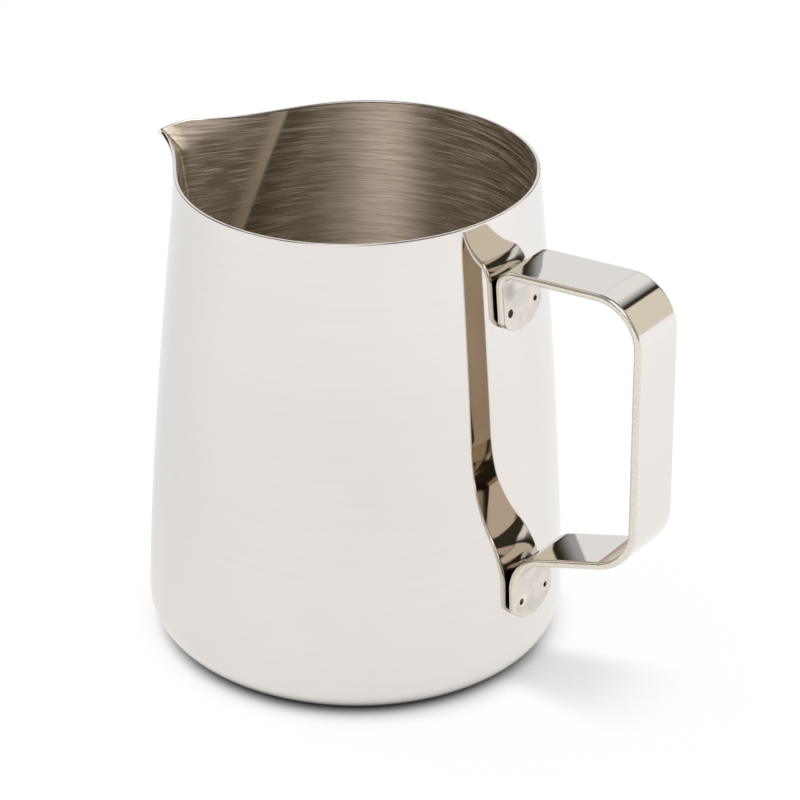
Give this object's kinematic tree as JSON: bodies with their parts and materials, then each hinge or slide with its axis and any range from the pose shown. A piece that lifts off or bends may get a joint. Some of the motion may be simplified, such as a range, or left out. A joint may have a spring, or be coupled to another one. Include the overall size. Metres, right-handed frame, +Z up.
{
  "type": "milk frothing pitcher",
  "caption": "Open steel jug with a tapered round body, a pinched pouring spout and a welded strap handle, for steaming and pouring milk.",
  "frame": {"origin": "centre of the flat base, on the axis of the round body", "axes": "+X from the axis through the handle, -X through the spout, +Z up along the axis, mirror plane y = 0"},
  "size_m": [0.1299, 0.0918, 0.1099],
  "materials": {
    "jug_steel": "stainless steel sheet, mirror polished outside and finely brushed round the inside",
    "strap_steel": "polished stainless steel strip, the tab faces satin",
    "weld_steel": "small dark spot welds, a little below the face of the strap"
  },
  "bodies": {
    "root": {"jug_body": "jug_steel", "handle_strap": "strap_steel", "upper_weld_left": "weld_steel", "upper_weld_right": "weld_steel", "lower_weld_left": "weld_steel", "lower_weld_right": "weld_steel"}
  },
  "joints": []
}
